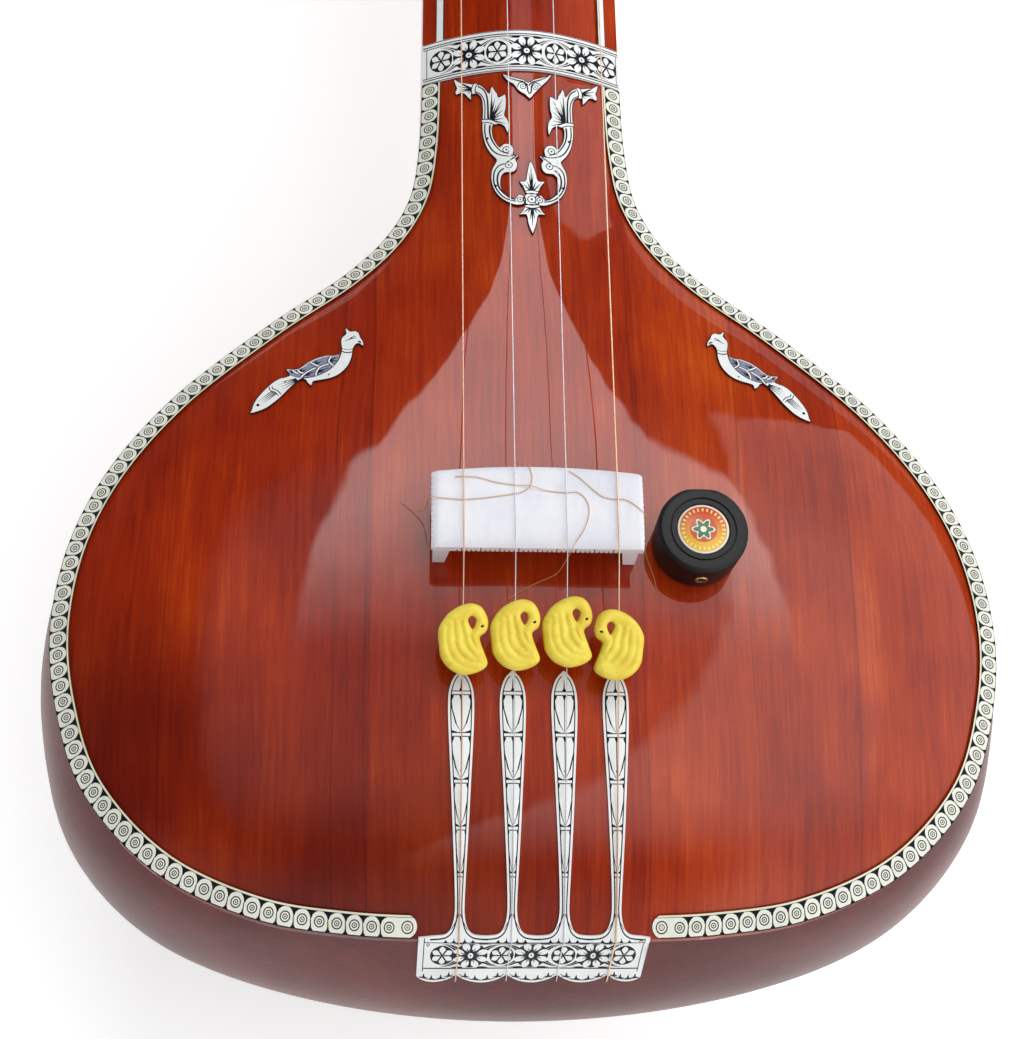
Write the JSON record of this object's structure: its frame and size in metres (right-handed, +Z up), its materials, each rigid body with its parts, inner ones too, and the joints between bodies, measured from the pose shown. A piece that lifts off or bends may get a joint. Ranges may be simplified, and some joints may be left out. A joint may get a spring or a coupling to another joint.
{
  "type": "tanpura",
  "caption": "Long-necked drone lute with a gourd body, arched soundboard, wide bench bridge, swan tuning beads, engraved inlays and friction pegs, lying on its back.",
  "frame": {"origin": "middle of the bounding box on the floor that the instrument lies on", "axes": "+Y from the gourd's tail to the head, +Z up out of the soundboard, +X to the right seen from the tail"},
  "size_m": [0.4438, 1.4708, 0.3259],
  "materials": {
    "gourd": "dark red-brown varnished gourd, glossy",
    "soundboard": "red-orange varnish over fine straight grain, glossy",
    "neck_face": "red-orange varnish over straight grain, glossy",
    "neck": "red-brown varnish over straight grain, glossy",
    "cap": "dark varnished wood",
    "raw_wood": "bare wood",
    "rim_strip": "off-white strip engraved with black rings and cups",
    "inlay": "off-white inlay line",
    "band": "off-white band engraved with flowers, filled black",
    "ornament": "off-white applique with engraved lines",
    "tail_plate": "off-white plate engraved with flowers and leaves",
    "bridge": "white, satin, with a polished top",
    "bone": "off-white bone, satin",
    "bead": "yellow plastic, satin",
    "peg": "dark turned wood, satin",
    "thread": "thin brown cotton thread",
    "bronze": "bright bronze wire",
    "steel": "bright steel wire",
    "brass": "bright brass wire",
    "pickup": "black satin plastic",
    "label": "printed label fading from red to yellow, without words",
    "socket": "plated socket ring"
  },
  "bodies": {
    "body": {"gourd": "gourd", "neck_joint": "neck", "tail_block": "raw_wood", "soundboard": "soundboard", "neck_back": "neck", "neck_block": "raw_wood", "neck_face": "neck_face", "head_back": "neck", "head_face": "neck_face", "head_cap": "cap", "rim_strip_left": "rim_strip", "neck_line_left": "inlay", "bird_left": "ornament", "rim_strip_right": "rim_strip", "neck_line_right": "inlay", "bird_right": "ornament", "neck_band": "band", "scroll_ornament": "ornament", "crest_ornament": "ornament", "tail_plate": "tail_plate", "bridge": "bridge", "nut": "bone", "string_guide": "bone", "thread_1": "thread", "thread_2": "thread", "thread_3": "thread", "string_1": "bronze", "string_2": "steel", "string_3": "steel", "string_4": "brass", "pickup_body": "pickup", "pickup_label": "label", "pickup_socket": "socket"},
    "peg_1": {"peg_1": "peg", "winding_1": "bronze"},
    "peg_2": {"peg_2": "peg", "winding_2": "steel"},
    "peg_3": {"peg_3": "peg", "winding_3": "steel"},
    "peg_4": {"peg_4": "peg", "winding_4": "brass"},
    "bead_1": {"bead_1": "bead"},
    "bead_2": {"bead_2": "bead"},
    "bead_3": {"bead_3": "bead"},
    "bead_4": {"bead_4": "bead"}
  },
  "joints": [
    {"name": "peg_1_turn", "type": "hinge", "parent": "body", "child": "peg_1", "pos_m": [-0.04325, 0.5386, 0.07621], "axis": [-1, 0, 0], "continuous": true},
    {"name": "peg_2_turn", "type": "hinge", "parent": "body", "child": "peg_2", "pos_m": [-0.019, 0.57434, 0.09624], "axis": [0, 0.1629, 0.9867], "continuous": true},
    {"name": "peg_3_turn", "type": "hinge", "parent": "body", "child": "peg_3", "pos_m": [0.0214, 0.62845, 0.08631], "axis": [0, 0.1629, 0.9867], "continuous": true},
    {"name": "peg_4_turn", "type": "hinge", "parent": "body", "child": "peg_4", "pos_m": [0.04233, 0.67081, 0.05439], "axis": [1, 0, 0], "continuous": true},
    {"name": "bead_1_slide", "type": "slide", "parent": "body", "child": "bead_1", "axis": [0, 0.9896, 0.1436], "range_m": [-0.028, 0.016]},
    {"name": "bead_2_slide", "type": "slide", "parent": "body", "child": "bead_2", "axis": [0, 0.9897, 0.1431], "range_m": [-0.028, 0.015]},
    {"name": "bead_3_slide", "type": "slide", "parent": "body", "child": "bead_3", "axis": [0, 0.9897, 0.1431], "range_m": [-0.028, 0.012]},
    {"name": "bead_4_slide", "type": "slide", "parent": "body", "child": "bead_4", "axis": [0, 0.9896, 0.1437], "range_m": [-0.026, 0.016]}
  ]
}
